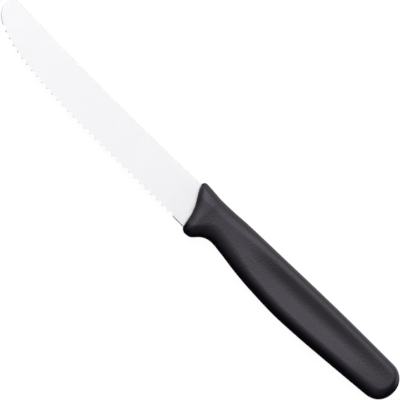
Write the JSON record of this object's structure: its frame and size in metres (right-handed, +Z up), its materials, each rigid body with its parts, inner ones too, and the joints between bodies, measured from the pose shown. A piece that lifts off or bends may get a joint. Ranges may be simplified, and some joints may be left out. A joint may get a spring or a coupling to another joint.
{
  "type": "table knife",
  "caption": "Table knife with a square-tipped serrated stainless blade and a dark moulded plastic handle with a finger guard and a shallow hollow along each face.",
  "frame": {"origin": "on the surface that the knife lies on, below the middle of its outline", "axes": "+X from the tip to the butt, +Y from the edge to the spine, +Z up from the side that the knife lies on"},
  "size_m": [0.22, 0.022, 0.0112],
  "materials": {
    "steel": "satin-ground stainless steel, with fine grinding lines from the spine to the edge",
    "plastic": "dark grey-black moulded polypropylene with a fine even texture"
  },
  "bodies": {
    "root": {"blade": "steel", "handle": "plastic"}
  },
  "joints": []
}
